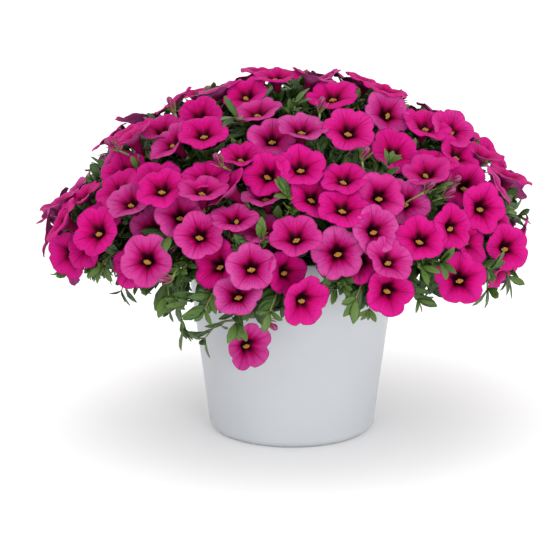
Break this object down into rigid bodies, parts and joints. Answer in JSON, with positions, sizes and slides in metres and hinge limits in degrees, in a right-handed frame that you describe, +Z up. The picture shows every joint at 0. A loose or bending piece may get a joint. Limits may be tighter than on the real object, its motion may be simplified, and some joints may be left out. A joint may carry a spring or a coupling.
{
  "type": "potted calibrachoa plant",
  "caption": "Round bushy calibrachoa in full magenta bloom over small green leaves, planted in a plain tapered round pot that stands on its flat base.",
  "frame": {"origin": "centre of the pot's flat base", "axes": "+Z up along the pot's axis, -Y towards the side that the picture shows, +X to the right there"},
  "size_m": [0.3228, 0.325, 0.2436],
  "materials": {
    "pot": "satin",
    "soil": "matte",
    "foliage": "satin",
    "petals": "matte"
  },
  "bodies": {
    "root": {"blooms_01": "petals", "blooms_02": "petals", "blooms_03": "petals", "blooms_04": "petals", "blooms_05": "petals", "blooms_06": "petals", "blooms_07": "petals", "blooms_08": "petals", "blooms_09": "petals", "blooms_10": "petals", "blooms_11": "petals", "blooms_12": "petals", "blooms_13": "petals", "blooms_14": "petals", "blooms_15": "petals", "blooms_16": "petals", "blooms_17": "petals", "blooms_18": "petals", "blooms_19": "petals", "blooms_20": "petals", "blooms_21": "petals", "blooms_22": "petals", "blooms_23": "petals", "blooms_24": "petals", "blooms_25": "petals", "blooms_26": "petals", "blooms_27": "petals", "blooms_28": "petals", "blooms_29": "petals", "blooms_30": "petals", "blooms_31": "petals", "blooms_32": "petals", "blooms_33": "petals", "blooms_34": "petals", "blooms_35": "petals", "pot": "pot", "shoot_01": "foliage", "shoot_02": "foliage", "shoot_03": "foliage", "shoot_04": "foliage", "shoot_05": "foliage", "shoot_06": "foliage", "shoot_07": "foliage", "shoot_08": "foliage", "shoot_09": "foliage", "shoot_10": "foliage", "shoot_11": "foliage", "shoot_12": "foliage", "shoot_13": "foliage", "shoot_14": "foliage", "shoot_15": "foliage", "shoot_16": "foliage", "shoot_17": "foliage", "shoot_18": "foliage", "shoot_19": "foliage", "shoot_20": "foliage", "soil": "soil"}
  },
  "joints": []
}
